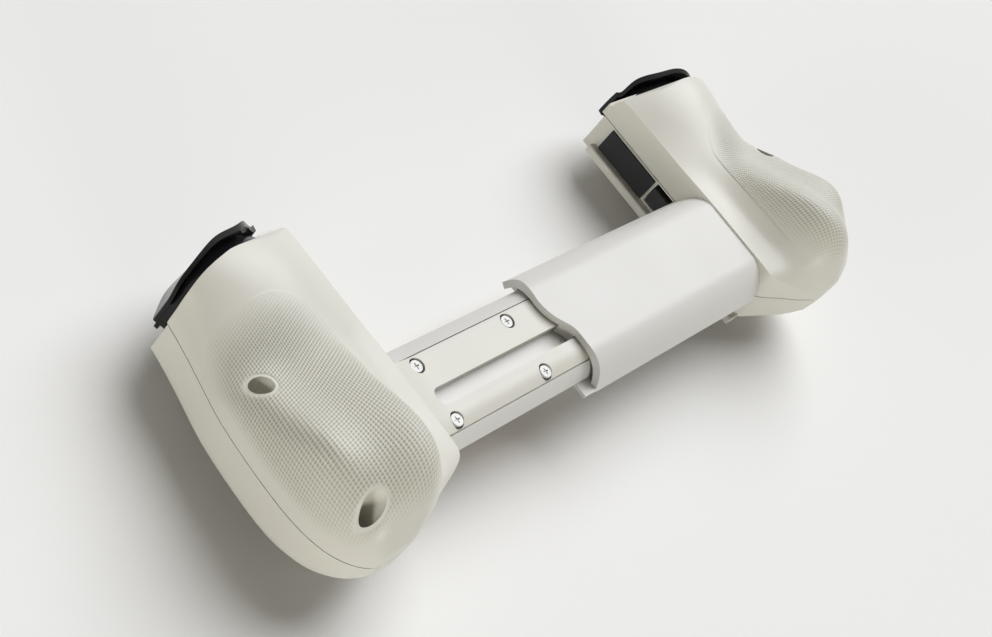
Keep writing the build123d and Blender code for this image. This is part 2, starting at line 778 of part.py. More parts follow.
with BuildPart() as rail_tray:
    add(hump_bar(rail_half, rail_top, rail_bottom, rail_start, rail_end))
    high_side = tongue_high_y + groove_gap
    low_side = tongue_low_y - groove_gap
    with Locations((rail_start, low_side, back_z + rail_top - tongue_thick - seat_gap)):
        Box(tongue_end + groove_gap - rail_start, high_side - low_side, sleeve_height,
            align=(Align.MIN, Align.MIN, Align.MIN), mode=Mode.SUBTRACT)
    with Locations((channel_start + channel_tip, rib_y, back_z + channel_low)):
        Box(slot_length, 2 * channel_half, sleeve_height, align=(Align.MIN, Align.CENTER, Align.MIN),
            mode=Mode.SUBTRACT)
        Cylinder(channel_half, sleeve_height, align=on_base, mode=Mode.SUBTRACT)
    with Locations((spring_start - spring_radius / 2, spring_y, back_z)):
        Box(slot_length, 2 * spring_groove_half, rail_bottom + spring_groove_depth,
            align=(Align.MIN, Align.CENTER, Align.MIN), mode=Mode.SUBTRACT)
    with Locations((spring_start - spring_radius / 2, ribbon_y, back_z)):
        Box(slot_length, 2 * ribbon_groove_half, rail_bottom + ribbon_groove_depth,
            align=(Align.MIN, Align.CENTER, Align.MIN), mode=Mode.SUBTRACT)
    for x, y in rail_screw_places:
        with Locations((x, y, back_z + rail_top)):
            Cylinder(rail_pilot, rail_recess_depth + rail_screw_length + fit_gap,
                     align=(Align.CENTER, Align.CENTER, Align.MAX), mode=Mode.SUBTRACT)
rail_tray.part.label = "rail_tray"
export_step(rail_tray.part, "parts/rail_tray.step")

with BuildPart() as bridge_spring:
    with Locations(((spring_start + spring_end) / 2, spring_y, spring_z)):
        Cylinder(spring_radius, spring_end - spring_start, rotation=along_x)
        Cylinder(spring_bore, spring_end - spring_start, rotation=along_x, mode=Mode.SUBTRACT)
bridge_spring.part.label = "bridge_spring"
export_step(bridge_spring.part, "parts/bridge_spring.step")

with BuildPart() as bridge_ribbon:
    with Locations((spring_start, ribbon_y, ribbon_z)):
        Box(ribbon_end - seat_gap - spring_start, 2 * ribbon_half, ribbon_thick,
            align=(Align.MIN, Align.CENTER, Align.MIN))
bridge_ribbon.part.label = "bridge_ribbon"
export_step(bridge_ribbon.part, "parts/bridge_ribbon.step")


def screw(x, y, seat, head, head_height, shank, length):
    """A pan-head machine screw with a cross recess in scale with its head, on its seat."""
    long_slot, short_slot, deep_slot = (
        size * head / screw_head for size in (cross_length, cross_width, cross_depth)
    )
    with BuildPart() as solid:
        with Locations((x, y, seat)):
            Cylinder(head, head_height, align=on_base)
            Cylinder(shank, length, align=(Align.CENTER, Align.CENTER, Align.MAX))
        with Locations((x, y, seat + head_height)):
            Box(long_slot, short_slot, deep_slot, align=(Align.CENTER, Align.CENTER, Align.MAX),
                mode=Mode.SUBTRACT)
            Box(short_slot, long_slot, deep_slot, align=(Align.CENTER, Align.CENTER, Align.MAX),
                mode=Mode.SUBTRACT)
    return solid.part


with BuildPart() as rail_screws:
    for x, y in rail_screw_places:
        add(screw(x, y, back_z + rail_top - rail_recess_depth, rail_screw_head, rail_head_height,
                  rail_screw_radius, rail_screw_length))
rail_screws.part.label = "rail_screws"
export_step(rail_screws.part, "parts/rail_screws.step")

# Parts that both units have, each in its own mirror image where it isn't symmetric
with BuildPart() as trigger_body:
    add(trigger_barrel(0))
    barrel_area = [(barrel_plan[0][0], barrel_back)] + barrel_plan + [(barrel_plan[-1][0], barrel_back)]
    add(trigger_plan(barrel_area, barrel_low, 2 * grip_width), mode=Mode.INTERSECT)
    for start in hub_starts:
        add(trigger_disc(start, hub_width, hub_radius))
        web = [(start, pivot_p), (start + hub_width, pivot_p), (start + hub_width, 0), (start, 0)]
        add(trigger_plan(web, barrel_low, trigger_pivot_z + hub_radius / 2))
    add(trigger_disc(barrel_plan[0][0], grip_width, pin_fit), mode=Mode.SUBTRACT)
with BuildPart() as trigger_fin:
    for s, back, crest, crest_z, middle, middle_z, foot in fin_stations:
        with BuildSketch(trigger_section(s)):
            with BuildLine():
                Polyline((foot, barrel_low), (back, barrel_low), (back, crest_z - crest_drop),
                         (crest, crest_z))
                Spline((crest, crest_z), (middle, middle_z), (foot, barrel_low))
            make_face()
    loft()
with BuildPart() as left_trigger:
    add(trigger_body.part)
    add(trigger_fin.part)

with BuildPart() as left_bumper:
    add(trigger_plan(bumper_plan, bumper_low, bumper_high))
    arm = [
        (bumper_arm_start, bumper_p), (bumper_arm_end, bumper_p),
        (bumper_arm_end, lug_radius), (bumper_arm_start, lug_radius),
    ]
    add(trigger_plan(arm, bumper_arm_low, bumper_arm_high))
    with Locations(trigger_point(bumper_s, bumper_p, bumper_arm_low)):
        Cylinder(lug_radius, bumper_arm_high - bumper_arm_low, align=on_base)
        Cylinder(lug_hole, bumper_arm_high - bumper_arm_low, align=on_base, mode=Mode.SUBTRACT)

left_trigger_pin = trigger_disc(pin_start, pin_length, pin_radius)
with BuildPart() as left_trigger_spring:
    add(trigger_disc(coil_start, coil_length, coil_outer))
    add(trigger_disc(coil_start, coil_length, coil_inner), mode=Mode.SUBTRACT)

with BuildPart() as left_shell_screws:
    for u, y in screw_places:
        add(screw(half_slot + u, y, back_z + screw_seat, screw_head, screw_head_height,
                  screw_radius, screw_length))

pairs = {
    "trigger": left_trigger.part,
    "bumper": left_bumper.part,
    "trigger_pin": left_trigger_pin,
    "trigger_spring": left_trigger_spring.part,
    "shell_screws": left_shell_screws.part,
}
for name, solid in pairs.items():
    with BuildPart() as left_one:
        add(solid)
    left_one.part.label = "left_" + name
    export_step(left_one.part, f"parts/left_{name}.step")
    with BuildPart() as right_one:
        mirror(solid, about=Plane.YZ)
    right_one.part.label = "right_" + name
    export_step(right_one.part, f"parts/right_{name}.step")

for side, unit in ((left, "left"), (right, "right")):
    for number, place in enumerate(small_places):
        with BuildPart() as small_button:
            with Locations(at(side, place, small_low)):
                Cylinder(small_radius, small_flange_low - small_low, align=on_base)
            chamfer(edges().sort_by(Axis.Z)[0], length=small_edge)
            with Locations(at(side, place, small_flange_low)):
                Cylinder(small_flange, flange_thick, align=on_base)
                Cylinder(small_stem, small_stem_high - small_flange_low, align=on_base)
        name = unit + ("_upper_button", "_lower_button")[number]
        small_button.part.label = name
        export_step(small_button.part, f"parts/{name}.step")

    with BuildPart() as board:
        with BuildSketch(Plane.XY.offset(board_z)):
            with BuildLine():
                edge_far = trigger_point(grip_width, -board_clear, 0)
                edge_near = trigger_point(0, -board_clear, 0)
                slope = (edge_far[1] - edge_near[1]) / (edge_far[0] - edge_near[0])
                near_y = edge_near[1] + slope * (half_slot + board_near - edge_near[0])
                far_y = edge_near[1] + slope * (half_slot + board_far - edge_near[0])
                outline = [
                    (side * (half_slot + board_near), board_low),
                    (side * (half_slot + board_far), board_low),
                    (side * (half_slot + board_far), far_y),
                    (side * (half_slot + board_near), near_y),
                ]
                Polyline(*outline, close=True)
            make_face()
        extrude(amount=board_thick)
        if side == left:
            with Locations(at(side, (0, 0), board_z)):
                Box(2 * notch_far, 2 * notch_half, board_thick, align=on_base, mode=Mode.SUBTRACT)
        for place in (chip_place, port_place):
            with Locations(at(side, place, board_z + board_thick)):
                Box(chip_width, chip_width, chip_height, align=on_base)
        for place in small_places[1:]:
            with Locations(at(side, place, board_z)):
                Box(switch_width, switch_width, switch_height, align=(Align.CENTER, Align.CENTER, Align.MAX))
    board.part.label = unit + "_circuit_board"
    export_step(board.part, f"parts/{unit}_circuit_board.step")

    place = left_stick_place if side == left else right_stick_place
    with BuildPart() as module:
        with Locations(at(side, place, module_low)):
            Box(module_width, module_width, board_z - module_low, align=on_base)
            Box(module_mouth, module_mouth, board_z - module_back - module_low, align=on_base,
                mode=Mode.SUBTRACT)
        with Locations(at(side, place, module_low + module_lip)):
            Box(module_cavity, module_cavity, board_z - module_back - module_low - module_lip,
                align=on_base, mode=Mode.SUBTRACT)
    module.part.label = unit + "_stick_module"
    export_step(module.part, f"parts/{unit}_stick_module.step")

    with BuildPart() as carrier:
        with Locations(at(side, place, carrier_low)):
            Box(carrier_width, carrier_width, carrier_high - carrier_low, align=on_base)
            Box(carrier_inner, carrier_inner, carrier_high - carrier_low, align=on_base, mode=Mode.SUBTRACT)
        with Locations(at(side, place, pivot_z)):
            Cylinder(yoke_hole, 2 * carrier_width, rotation=along_x, mode=Mode.SUBTRACT)
    carrier.part.label = unit + "_stick_carrier"
    export_step(carrier.part, f"parts/{unit}_stick_carrier.step")

    with BuildPart() as yoke:
        with Locations(at(side, place, pivot_z)):
            Cylinder(yoke_pin, carrier_width - pin_overlap, rotation=along_x)
            Box(yoke_width, yoke_width, yoke_height)
            Box(yoke_inner, yoke_inner, yoke_height, mode=Mode.SUBTRACT)
            Cylinder(block_hole, 2 * yoke_width, rotation=along_y, mode=Mode.SUBTRACT)
    yoke.part.label = unit + "_stick_yoke"
    export_step(yoke.part, f"parts/{unit}_stick_yoke.step")

    with BuildPart() as shaft:
        with Locations(at(side, place, pivot_z)):
            Box(block_width, block_width, block_height)
            Cylinder(block_pin, yoke_width - pin_overlap, rotation=along_y)
        top = (shaft_radius, pivot_z - block_height / 2 + pin_overlap)
        add(round_solid(side, (place, [(0, top[1]), top] + shaft_profile + [(0, shaft_profile[-1][1])])))
    shaft.part.label = unit + "_stick_shaft"
    export_step(shaft.part, f"parts/{unit}_stick_shaft.step")

    with BuildPart() as cap:
        cap_back = cap_profile[-1][1]
        add(round_solid(side, (place, cap_profile + [(0, cap_back)])))
        with Locations(at(side, place, cap_back)):
            Cylinder(cap_bore, cap_bore_depth, align=(Align.CENTER, Align.CENTER, Align.MAX),
                     mode=Mode.SUBTRACT)
    cap.part.label = unit + "_stick_cap"
    export_step(cap.part, f"parts/{unit}_stick_cap.step")

    with BuildPart() as pad:
        with Locations(at(side, (0, 0), pad_low)):
            Box(2 * pad_thick, 2 * pad_half, pad_high - pad_low, align=on_base)
        with Locations(at(side, (0, 0), 0)):
            Box(2 * pad_thick, 2 * pad_half, 2 * back_z,
                align=(Align.MIN if side == left else Align.MAX, Align.CENTER, Align.MIN), mode=Mode.SUBTRACT)
            if side == left:
                Box(4 * pad_thick, 2 * pad_window_half, 2 * back_z, align=on_base, mode=Mode.SUBTRACT)
    pad.part.label = unit + "_phone_pad"
    export_step(pad.part, f"parts/{unit}_phone_pad.step")

# Charging plug and its carrier
with BuildPart() as plug_carrier:
    with Locations(at(left, (plug_u, 0), plug_z)):
        Cylinder(barrel_radius, barrel_length, rotation=along_y)
        Cylinder(stub_radius, barrel_length + 2 * stub_length, rotation=along_y)
        Box(plug_u + nose_end, 2 * nose_half, nose_height, align=(Align.MAX, Align.CENTER, Align.CENTER))
        Box(2 * plug_u, plug_width + 2 * seat_gap, plug_height + 2 * seat_gap,
            align=(Align.MAX, Align.CENTER, Align.CENTER), mode=Mode.SUBTRACT)
plug_carrier.part.label = "plug_carrier"
export_step(plug_carrier.part, "parts/plug_carrier.step")

with BuildPart() as usb_plug:
    with Locations(at(left, (plug_u - seat_gap, 0), plug_z)):
        Box(plug_u + plug_end, plug_width, plug_height, align=(Align.MAX, Align.CENTER, Align.CENTER))
    fillet(edges().filter_by(Axis.X), radius=plug_height / 2 - seat_gap)
    with Locations(at(left, (-plug_end, 0), plug_z)):
        Box(plug_depth, plug_width - 2 * plug_wall, plug_height - 2 * plug_wall,
            align=(Align.MIN, Align.CENTER, Align.CENTER), mode=Mode.SUBTRACT)
        Box(plug_depth + plug_wall, tongue_width, tongue_height,
            align=(Align.MIN, Align.CENTER, Align.CENTER))
usb_plug.part.label = "usb_plug"
export_step(usb_plug.part, "parts/usb_plug.step")

# D-pad
with BuildPart() as dpad:
    with Locations(at(left, dpad_place, dpad_low)):
        Box(dpad_span, dpad_arm, dpad_flange_low - dpad_low, align=on_base)
        Box(dpad_arm, dpad_span, dpad_flange_low - dpad_low, align=on_base)
    chamfer(edges().group_by(Axis.Z)[0], length=dpad_round)
    with Locations(at(left, dpad_place, dpad_flange_low)):
        Box(dpad_flange_span, dpad_flange_arm, dpad_flange_high - dpad_flange_low, align=on_base)
        Box(dpad_flange_arm, dpad_flange_span, dpad_flange_high - dpad_flange_low, align=on_base)
    with Locations(at(left, dpad_place, ball_z)):
        Sphere(dpad_socket, mode=Mode.SUBTRACT)
        Cylinder(dpad_socket, face_depth, align=on_base, mode=Mode.SUBTRACT)
dpad.part.label = "dpad"
export_step(dpad.part, "parts/dpad.step")

with BuildPart() as dpad_pivot:
    with Locations(at(left, dpad_place, ball_z)):
        Sphere(cup_radius)
        Sphere(cup_bore, mode=Mode.SUBTRACT)
        Box(2 * face_depth, 2 * face_depth, face_depth, align=on_base, mode=Mode.SUBTRACT)
dpad_pivot.part.label = "dpad_pivot"
export_step(dpad_pivot.part, "parts/dpad_pivot.step")

with BuildPart() as dpad_post:
    with Locations(at(left, dpad_place, ball_z)):
        Sphere(ball_radius)
        Cylinder(ball_post, board_z - ball_z, align=on_base)
dpad_post.part.label = "dpad_post"
export_step(dpad_post.part, "parts/dpad_post.step")

with BuildPart() as dpad_membrane:
    with Locations(at(left, dpad_place, board_z - mat_thick)):
        Box(dpad_mat_width, dpad_mat_width, mat_thick, align=on_base)
    with Locations(at(left, dpad_place, dpad_dome_low)):
        with PolarLocations(dpad_dome_ring, 4):
            Cone(dome_tip, dome_radius, board_z - mat_thick - dpad_dome_low, align=on_base)
    with Locations(at(left, dpad_place, ball_z)):
        Cylinder(mat_hole, 2 * board_z, align=on_base, mode=Mode.SUBTRACT)
dpad_membrane.part.label = "dpad_membrane"
export_step(dpad_membrane.part, "parts/dpad_membrane.step")

# Face buttons
with BuildPart() as face_membrane:
    with Locations(at(right, face_place, face_dome_low)):
        with PolarLocations(face_ring, 4):
            Cone(dome_tip, dome_radius, board_z - mat_thick - face_dome_low, align=on_base)
    with Locations(at(right, face_place, board_z - mat_thick)):
        Cylinder(face_ring + dome_radius + mat_thick, mat_thick, align=on_base)
face_membrane.part.label = "face_membrane"
export_step(face_membrane.part, "parts/face_membrane.step")

for name, across, along in (("inner", -1, 0), ("outer", 1, 0), ("upper", 0, 1), ("lower", 0, -1)):
    place = (face_place[0] + across * face_ring, face_place[1] + along * face_ring)
    with BuildPart() as face_button:
        with Locations(at(right, place, face_low)):
            Cylinder(face_radius, flange_low - face_low, align=on_base)
        fillet(edges().sort_by(Axis.Z)[0], radius=face_round_edge)
        with Locations(at(right, place, flange_low)):
            Cylinder(face_flange, flange_thick, align=on_base)
    face_button.part.label = f"face_button_{name}"
    export_step(face_button.part, f"parts/face_button_{name}.step")
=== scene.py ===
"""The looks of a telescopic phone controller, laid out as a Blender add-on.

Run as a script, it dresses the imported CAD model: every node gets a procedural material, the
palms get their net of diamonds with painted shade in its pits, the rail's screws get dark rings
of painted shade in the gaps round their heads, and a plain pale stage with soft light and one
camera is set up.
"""

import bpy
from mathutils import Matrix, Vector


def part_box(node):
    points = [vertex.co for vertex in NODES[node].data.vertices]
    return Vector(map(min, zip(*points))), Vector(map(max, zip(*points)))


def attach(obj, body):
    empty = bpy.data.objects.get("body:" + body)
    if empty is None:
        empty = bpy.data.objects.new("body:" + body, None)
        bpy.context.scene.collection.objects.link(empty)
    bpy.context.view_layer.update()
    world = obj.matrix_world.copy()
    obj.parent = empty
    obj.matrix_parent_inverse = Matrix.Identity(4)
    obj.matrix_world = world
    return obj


bl_info = {
    "name": "Phone controller looks",
    "version": (1, 0, 0),
    "blender": (4, 5, 0),
    "location": "3D View > Sidebar > Controller",
    "description": "Dresses a telescopic phone controller with procedural materials",
    "category": "Object",
}

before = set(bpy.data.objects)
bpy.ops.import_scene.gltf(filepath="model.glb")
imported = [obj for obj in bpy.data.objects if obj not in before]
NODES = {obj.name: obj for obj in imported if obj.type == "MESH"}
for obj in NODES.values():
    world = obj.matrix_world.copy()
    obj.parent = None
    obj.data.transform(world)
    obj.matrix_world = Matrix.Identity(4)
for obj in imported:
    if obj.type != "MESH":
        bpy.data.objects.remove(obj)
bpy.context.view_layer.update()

import bpy
import numpy as np
from bpy.props import FloatProperty, FloatVectorProperty, PointerProperty
from mathutils import Matrix, Vector

MM = 0.001
LIP_WIDTH = 3 * MM
SLOT_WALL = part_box("left_front_shell")[0].x + LIP_WIDTH
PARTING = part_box("left_rear_shell")[0].z
RAIL_HEAD = 1.8 * MM
RAIL_HEAD_HEIGHT = 0.8 * MM
SHADE_RING_OVERLAP = 0.1 * MM
SHADE_RING_RADIUS = 2.32 * MM
SHADE_RING_LIFT = 0.05 * MM
SCREW_RECESSES = ((40.6 * MM, 2.0 * MM), (39.2 * MM, -36.2 * MM))
FLOOR_HALF = 3.0
SUNS = (  # name, energy, angle, colour and the way towards the light
    ("key", 3.1, 0.95, (0.985, 0.995, 1.03), (0.56, 0.25, 0.80)),
    ("side fill", 1.25, 0.3, (1.0, 0.985, 0.93), (-1.0, 0.05, 0.05)),
    ("end fill", 1.25, 0.4, (1.0, 0.985, 0.93), (-0.3, -0.95, 0.08)),
)
LENS, SENSOR_WIDTH, CLIP_START = 65.0, 36.0, 0.01
CAMERA_PLACE = (-0.3871, -0.0922, 0.3346)
CAMERA_RIGHT = (0.5994, -0.6044, 0.5248)
CAMERA_BACK = (-0.7443, -0.1795, 0.6433)


# Settings that a user would change
def colour_property(name, description, default):
    """A linear RGB colour setting."""
    return FloatVectorProperty(
        name=name, description=description, subtype="COLOR", size=3, min=0, max=1, default=default
    )


class ControllerFinish(bpy.types.PropertyGroup):
    """Colours and sizes of the finishes."""

    cream: colour_property("Cream", "Colour of the moulded shells", (0.665, 0.65, 0.58))
    bridge_cream: colour_property("Bridge cream", "Colour of the bridge", (0.665, 0.655, 0.62))
    # The deep cream is painted shade: the palm diamonds' pits are darkened towards it. A twentieth of
    # it also warms the cream's random tone.
    cream_pit_shade: colour_property("Pit shade cream", "Tone of the cream in recesses", (0.34, 0.325, 0.245))
    gloss_black: colour_property("Trigger black", "Colour of the triggers", (0.006, 0.006, 0.0065))
    # Besides pads and caps, this black colours the rings of painted shade in the gaps round the rail's
    # screw heads.
    rubber_and_gap_shade_black: colour_property("Rubber black", "Colour of pads and caps", (0.020, 0.020, 0.021))
    key_grey: colour_property("Key grey", "Colour of buttons and the D-pad", (0.055, 0.055, 0.058))
    screw_pale: colour_property("Screw", "Colour of the bridge screws", (0.80, 0.80, 0.78))
    cell_along: FloatProperty(
        name="Cell along", description="Length of a palm diamond's edge along the slot",
        default=0.86 * MM, min=0.5 * MM, max=3 * MM, unit="LENGTH", precision=5,
    )
    cell_across: FloatProperty(
        name="Cell across", description="Length of a palm diamond's other edge",
        default=0.92 * MM, min=0.5 * MM, max=3 * MM, unit="LENGTH", precision=5,
    )
    diamond_height: FloatProperty(
        name="Diamond height", description="How deep the palm's diamonds are",
        default=0.3 * MM, min=0, max=1 * MM, unit="LENGTH", precision=5,
    )
    backdrop: colour_property("Backdrop", "Colour behind the object", (0.823, 0.815, 0.783))
    room_colour: colour_property("Room colour", "Colour of the room's own light", (1.0, 0.96, 0.85))
    room_strength: FloatProperty(
        name="Room light", description="Strength of the room's own light", default=0.10,
        min=0, max=1,
    )
    grain_depth: FloatProperty(
        name="Grain depth", description="Height of the moulded grain", default=0.000012,
        min=0, max=0.0002, unit="LENGTH", precision=6,
    )


def finish():
    """The scene's finish settings."""
    return bpy.context.scene.controller_finish


# Shader groups
def new_group(name, inputs, outputs):
    """An empty shader group with named sockets, and its in and out nodes."""
    group = bpy.data.node_groups.new(name, "ShaderNodeTree")
    for label, kind, value in inputs:
        socket = group.interface.new_socket(name=label, in_out="INPUT", socket_type=kind)
        if value is not None:
            socket.default_value = value
    for label, kind in outputs:
        group.interface.new_socket(name=label, in_out="OUTPUT", socket_type=kind)
    return group, group.nodes.new("NodeGroupInput"), group.nodes.new("NodeGroupOutput")


class Wiring:
    """Short calls that add nodes to one tree."""

    def __init__(self, tree):
        self.tree = tree

    def node(self, kind, **settings):
        made = self.tree.nodes.new(kind)
        for key, value in settings.items():
            setattr(made, key, value)
        return made

    def feed(self, socket, value):
        """A link if value is a socket, otherwise the socket's own value."""
        if isinstance(value, bpy.types.NodeSocket):
            self.tree.links.new(value, socket)
        else:
            socket.default_value = value

    def math(self, operation, *values):
        made = self.node("ShaderNodeMath", operation=operation)
        for socket, value in zip(made.inputs, values):
            self.feed(socket, value)
        return made.outputs[0]

    def smooth(self, value, low, high, to_low=0.0, to_high=1.0):
        made = self.node("ShaderNodeMapRange", interpolation_type="SMOOTHSTEP")
        self.feed(made.inputs["Value"], value)
        for label, number in (
            ("From Min", low), ("From Max", high), ("To Min", to_low), ("To Max", to_high)
        ):
            self.feed(made.inputs[label], number)
        return made.outputs["Result"]

    def split(self, vector):
        made = self.node("ShaderNodeSeparateXYZ")
        self.feed(made.inputs[0], vector)
        return made.outputs

    def mix(self, factor, one, two):
        made = self.node("ShaderNodeMix", data_type="RGBA")
        self.feed(made.inputs["Factor"], factor)
        self.feed(made.inputs["A"], one)
        self.feed(made.inputs["B"], two)
        return made.outputs["Result"]

    def noise(self, vector, scale, detail=3.0, roughness=0.5):
        made = self.node("ShaderNodeTexNoise")
        self.feed(made.inputs["Vector"], vector)
        self.feed(made.inputs["Scale"], scale)
        self.feed(made.inputs["Detail"], detail)
        self.feed(made.inputs["Roughness"], roughness)
        return made.outputs["Fac"]


def mould_grain_group():
    """Fine moulded grain and slow tone changes: noises of two scales on a place."""
    group, start, end = new_group(
        "Mould grain",
        [("Place", "NodeSocketVector", None), ("Grain scale", "NodeSocketFloat", 2600.0),
         ("Tone scale", "NodeSocketFloat", 45.0)],
        [("Height", "NodeSocketFloat"), ("Tone", "NodeSocketFloat")],
    )
    w = Wiring(group)
    grain = w.noise(start.outputs["Place"], start.outputs["Grain scale"], 2.0, 0.6)
    tone = w.noise(start.outputs["Place"], start.outputs["Tone scale"], 4.0, 0.55)
    w.feed(end.inputs["Height"], grain)
    w.feed(end.inputs["Tone"], tone)
    return group


def group_of(name, maker):
    """The named shader group, made when it's first asked for."""
    return bpy.data.node_groups.get(name) or maker()


# Materials
def plain_material(name, roughness, **sockets):
    """A material with a Principled shader, its wiring and the object place."""
    made = bpy.data.materials.new(name)
    made.use_nodes = True
    w = Wiring(made.node_tree)
    shader = made.node_tree.nodes["Principled BSDF"]
    shader.inputs["Roughness"].default_value = roughness
    for label, value in sockets.items():
        shader.inputs[label.replace("_", " ")].default_value = value
    place = w.node("ShaderNodeTexCoord").outputs["Object"]
    return made, w, shader, place


def grain(w, place, scale, tone_scale):
    """A placed mould grain group."""
    made = w.node("ShaderNodeGroup", node_tree=group_of("Mould grain", mould_grain_group))
    w.feed(made.inputs["Place"], place)
    w.feed(made.inputs["Grain scale"], scale)
    w.feed(made.inputs["Tone scale"], tone_scale)
    return made.outputs["Height"], made.outputs["Tone"]


def bump(w, shader, height, distance):
    """A Bump node into the shader's normal."""
    made = w.node("ShaderNodeBump")
    made.inputs["Distance"].default_value = distance
    w.feed(made.inputs["Height"], height)
    w.feed(shader.inputs["Normal"], made.outputs["Normal"])


def cream_shell(name, cream, pit_shaded=False):
    """Satin cream moulding; where asked, darkened towards the deep cream by a point attribute, as
    painted shade in the pits of the palm diamonds.
    """
    f = finish()
    made, w, shader, place = plain_material(name, 0.42)
    height, tone = grain(w, place, 2600.0, 30.0)
    deep = scaled(f.cream_pit_shade, 1)
    warm = tuple(0.95 * a + 0.05 * b for a, b in zip(cream, f.cream_pit_shade)) + (1.0,)
    colour = w.mix(w.smooth(tone, 0.3, 0.7, 0.0, 0.35), scaled(cream, 1), warm)
    # Painted shade: the diamonds' pits are darkened towards the deep cream by the point attribute.
    if pit_shaded:
        pit_shade = w.node("ShaderNodeAttribute", attribute_name="PitShade").outputs["Fac"]
        colour = w.mix(pit_shade, colour, deep)
    w.feed(shader.inputs["Base Color"], colour)
    w.feed(shader.inputs["Roughness"], w.smooth(tone, 0.2, 0.8, 0.38, 0.46))
    bump(w, shader, height, f.grain_depth)
    return made


def scaled(colour, factor):
    """A colour with alpha one, its channels times the factor."""
    return tuple(factor * channel for channel in colour) + (1.0,)


def mottled(name, colours, roughness, grain_scale, tone_scale, depth, edges=(0.3, 0.7), **sockets):
    """A grained material whose tone noise moves its colour and roughness between two ends."""
    made, w, shader, place = plain_material(name, roughness[1], **sockets)
    height, tone = grain(w, place, grain_scale, tone_scale)
    w.feed(shader.inputs["Base Color"], w.mix(tone, *colours))
    w.feed(shader.inputs["Roughness"], w.smooth(tone, *edges, *roughness))
    bump(w, shader, height, depth)
    return made


def gloss_black():
    """Polished black moulding with faint wear in its gloss."""
    black = finish().gloss_black
    return mottled(
        "Trigger black", (scaled(black, 1), scaled(black, 1.5)), (0.17, 0.26), 900.0, 120.0,
        0.004 * MM, Specular_IOR_Level=0.25,
    )


def soft_black(name, colour, low, high):
    """Matt moulding or rubber in a dark colour with a visible grain."""
    return mottled(
        name, (scaled(colour, 1), scaled(colour, 1.6)), (low, high), 2200.0, 80.0,
        0.02 * MM, Specular_IOR_Level=0.2,
    )


def pale_screw():
    """Pale painted screw heads."""
    pale = finish().screw_pale
    return mottled(
        "Screw pale", (scaled(pale, 1), scaled(pale, 0.85)), (0.25, 0.38), 1500.0, 400.0, 0.005 * MM
    )


def bare_metal():
    """Zinc-plated steel with fine scratches."""
    return mottled(
        "Plated steel", ((0.56, 0.56, 0.55, 1.0), (0.68, 0.67, 0.64, 1.0)), (0.24, 0.42), 1800.0,
        260.0, 0.008 * MM, edges=(0.25, 0.75), Metallic=1.0,
    )


def milky_silicone():
    """Soft white silicone."""
    return mottled(
        "Silicone", ((0.66, 0.66, 0.64, 1.0), (0.74, 0.74, 0.72, 1.0)), (0.42, 0.6), 1500.0, 150.0,
        0.01 * MM,
    )


def board_green():
    """Solder mask with copper tracks showing through: thin lines of a brick pattern."""
    made, w, shader, place = plain_material("Circuit board", 0.35)
    bricks = w.node("ShaderNodeTexBrick")
    w.feed(bricks.inputs["Vector"], place)
    bricks.inputs["Scale"].default_value = 180.0
    bricks.inputs["Mortar Size"].default_value = 0.06
    bricks.inputs["Color1"].default_value = (0.012, 0.09, 0.035, 1.0)
    bricks.inputs["Color2"].default_value = (0.014, 0.10, 0.04, 1.0)
    bricks.inputs["Mortar"].default_value = (0.03, 0.18, 0.08, 1.0)
    w.feed(shader.inputs["Base Color"], bricks.outputs["Color"])
    height, tone = grain(w, place, 1500.0, 200.0)
    w.feed(shader.inputs["Roughness"], w.smooth(tone, 0.3, 0.7, 0.28, 0.42))
    bump(w, shader, height, 0.01 * MM)
    return made


def amber_film():
    """Flexible cable film with its conductors as fine stripes along X."""
    made, w, shader, place = plain_material("Amber film", 0.25)
    stripes = w.math("FRACT", w.math("DIVIDE", w.split(place)[1], 0.5 * MM))
    lines = w.smooth(w.math("ABSOLUTE", w.math("SUBTRACT", stripes, 0.5)), 0.2, 0.3)
    film, conductor = (0.42, 0.18, 0.03, 1.0), (0.62, 0.33, 0.10, 1.0)
    w.feed(shader.inputs["Base Color"], w.mix(lines, film, conductor))
    return made


def dress(names, material):
    """One material on each named node."""
    for name in names:
        node = NODES[name]
        node.data.materials.clear()
        node.data.materials.append(material)


# Surfaces
def softened(field, weight, rounds):
    """The field smoothed by repeated 1-4-6-4-1 averages along both ways of its grid, each
    point counted by its weight, so that points of no weight are filled from their
    neighbours."""
    taps = np.array([1.0, 4.0, 6.0, 4.0, 1.0]) / 16.0

    def averaged(values):
        for axis in (0, 1):
            pad = [(2, 2) if way == axis else (0, 0) for way in (0, 1)]
            wide = np.pad(values, pad, mode="edge")
            size = values.shape[axis]
            parts = (np.take(wide, range(n, n + size), axis=axis) for n in range(5))
            values = sum(tap * part for tap, part in zip(taps, parts))
        return values

    top, under = field * weight, weight.astype(float)
    for _ in range(rounds):
        top, under = averaged(top), averaged(under)
    return top / np.maximum(under, 1e-6)


def grid_faces(shape, height, keep):
    """Two triangles for each cell of the grid that has a kept corner, cut along the diagonal
    that joins the higher pair of corners."""
    rows, columns = shape
    index = np.arange(rows * columns).reshape(shape)
    a, b = index[:-1, :-1], index[1:, :-1]
    c, d = index[1:, 1:], index[:-1, 1:]
    kept = keep[:-1, :-1] | keep[1:, :-1] | keep[1:, 1:] | keep[:-1, 1:]
    main = height[:-1, :-1] + height[1:, 1:] >= height[1:, :-1] + height[:-1, 1:]
    first = np.where(main[..., None], np.stack((a, b, c), -1), np.stack((a, b, d), -1))
    second = np.where(main[..., None], np.stack((a, c, d), -1), np.stack((b, c, d), -1))
    return np.concatenate((first[kept], second[kept]))


